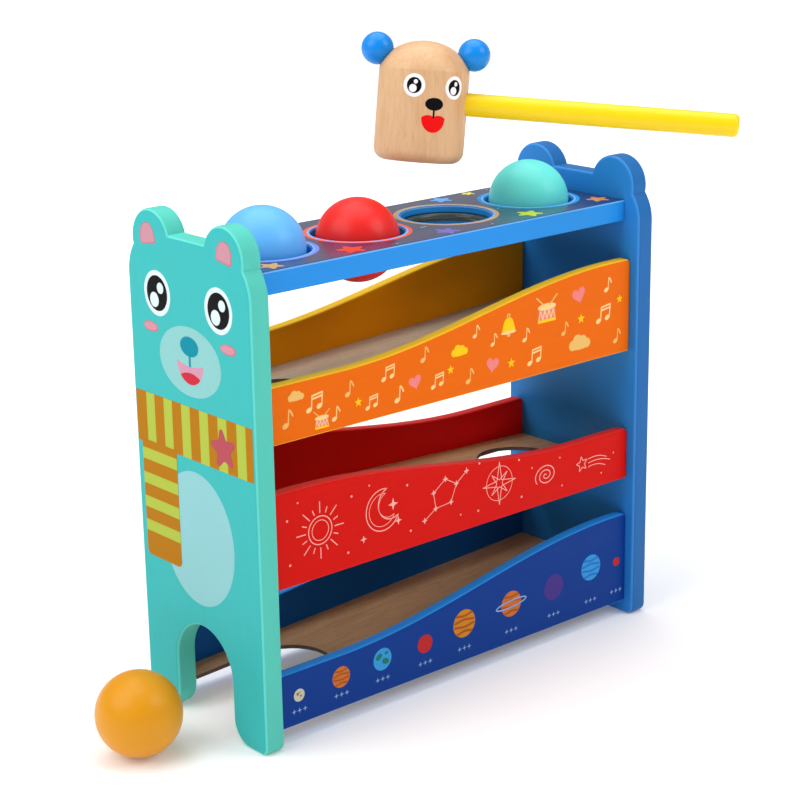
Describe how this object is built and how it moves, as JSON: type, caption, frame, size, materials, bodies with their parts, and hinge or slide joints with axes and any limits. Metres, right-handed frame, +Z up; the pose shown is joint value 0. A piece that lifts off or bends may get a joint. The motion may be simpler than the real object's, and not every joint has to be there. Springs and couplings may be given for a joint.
{
  "type": "ball pounding bench",
  "caption": "Wooden pounding bench: balls knocked through rubber-gripped holes in the top shelf roll down zigzag ramps between bear-shaped end panels, with a bear-head hammer.",
  "frame": {"origin": "on the floor, under the middle of the bench", "axes": "+X along the bench from the teal panel to the blue panel, -Y to the player, +Z up"},
  "size_m": [0.3504, 0.1713, 0.3473],
  "materials": {
    "teal_paint": "satin paint",
    "blue_paint": "satin paint",
    "shelf_paint": "gloss paint",
    "grip_rubber": "satin",
    "royal_paint": "satin paint",
    "red_paint": "satin paint",
    "orange_paint": "satin paint",
    "plywood": "raw",
    "ball_blue_paint": "satin paint",
    "ball_red_paint": "satin paint",
    "ball_green_paint": "satin paint",
    "ball_yellow_paint": "satin paint",
    "beech": "clear lacquer",
    "handle_paint": "gloss paint",
    "bead_paint": "gloss paint",
    "dowel_wood": "raw"
  },
  "bodies": {
    "bench": {"end_panel_teal": "teal_paint", "end_panel_blue": "blue_paint", "pounding_shelf": "shelf_paint", "grip_ring_1": "grip_rubber", "grip_ring_2": "grip_rubber", "grip_ring_3": "grip_rubber", "grip_ring_4": "grip_rubber", "blue_rail_front": "royal_paint", "blue_rail_back": "royal_paint", "red_rail_front": "red_paint", "red_rail_back": "red_paint", "orange_rail_front": "orange_paint", "orange_rail_back": "orange_paint", "lower_ramp": "plywood", "middle_ramp": "plywood", "upper_ramp": "plywood", "shelf_dowel_1": "dowel_wood", "shelf_dowel_2": "dowel_wood", "shelf_dowel_3": "dowel_wood", "shelf_dowel_4": "dowel_wood", "blue_rail_front_dowel_1": "dowel_wood", "blue_rail_front_dowel_2": "dowel_wood", "blue_rail_front_dowel_3": "dowel_wood", "blue_rail_front_dowel_4": "dowel_wood", "blue_rail_back_dowel_1": "dowel_wood", "blue_rail_back_dowel_2": "dowel_wood", "blue_rail_back_dowel_3": "dowel_wood", "blue_rail_back_dowel_4": "dowel_wood", "red_rail_front_dowel_1": "dowel_wood", "red_rail_front_dowel_2": "dowel_wood", "red_rail_front_dowel_3": "dowel_wood", "red_rail_front_dowel_4": "dowel_wood", "red_rail_back_dowel_1": "dowel_wood", "red_rail_back_dowel_2": "dowel_wood", "red_rail_back_dowel_3": "dowel_wood", "red_rail_back_dowel_4": "dowel_wood", "orange_rail_front_dowel_1": "dowel_wood", "orange_rail_front_dowel_2": "dowel_wood", "orange_rail_front_dowel_3": "dowel_wood", "orange_rail_front_dowel_4": "dowel_wood", "orange_rail_back_dowel_1": "dowel_wood", "orange_rail_back_dowel_2": "dowel_wood", "orange_rail_back_dowel_3": "dowel_wood", "orange_rail_back_dowel_4": "dowel_wood"},
    "blue_ball": {"ball_blue": "ball_blue_paint"},
    "red_ball": {"ball_red": "ball_red_paint"},
    "green_ball": {"ball_green": "ball_green_paint"},
    "yellow_ball": {"ball_yellow": "ball_yellow_paint"},
    "hammer": {"hammer_head": "beech", "hammer_handle": "handle_paint", "hammer_ear_left": "bead_paint", "hammer_ear_right": "bead_paint", "hammer_ear_peg_left": "dowel_wood", "hammer_ear_peg_right": "dowel_wood"}
  },
  "joints": [
    {"name": "blue_ball_drop", "type": "slide", "parent": "bench", "child": "blue_ball", "axis": [0.0705, 0, -0.9975], "range_m": [-0.03, 0.1235], "deforming": ["grip_ring_1"]},
    {"name": "red_ball_drop", "type": "slide", "parent": "bench", "child": "red_ball", "axis": [0, 0, -1], "range_m": [-0.03, 0.0473], "deforming": ["grip_ring_2"]},
    {"name": "green_ball_drop", "type": "slide", "parent": "bench", "child": "green_ball", "axis": [0, 0, -1], "range_m": [-0.03, 0.0455], "deforming": ["grip_ring_4"]},
    {"name": "yellow_ball_roll", "type": "slide", "parent": "bench", "child": "yellow_ball", "axis": [0.9977, 0.0679, 0], "range_m": [-0.06, 0.088]},
    {"name": "hammer_swing", "type": "hinge", "parent": "bench", "child": "hammer", "pos_m": [0.1033, -0.07953, 0.30151], "axis": [0.7344, 0.6637, -0.1422], "range_deg": [-12, 45]}
  ]
}
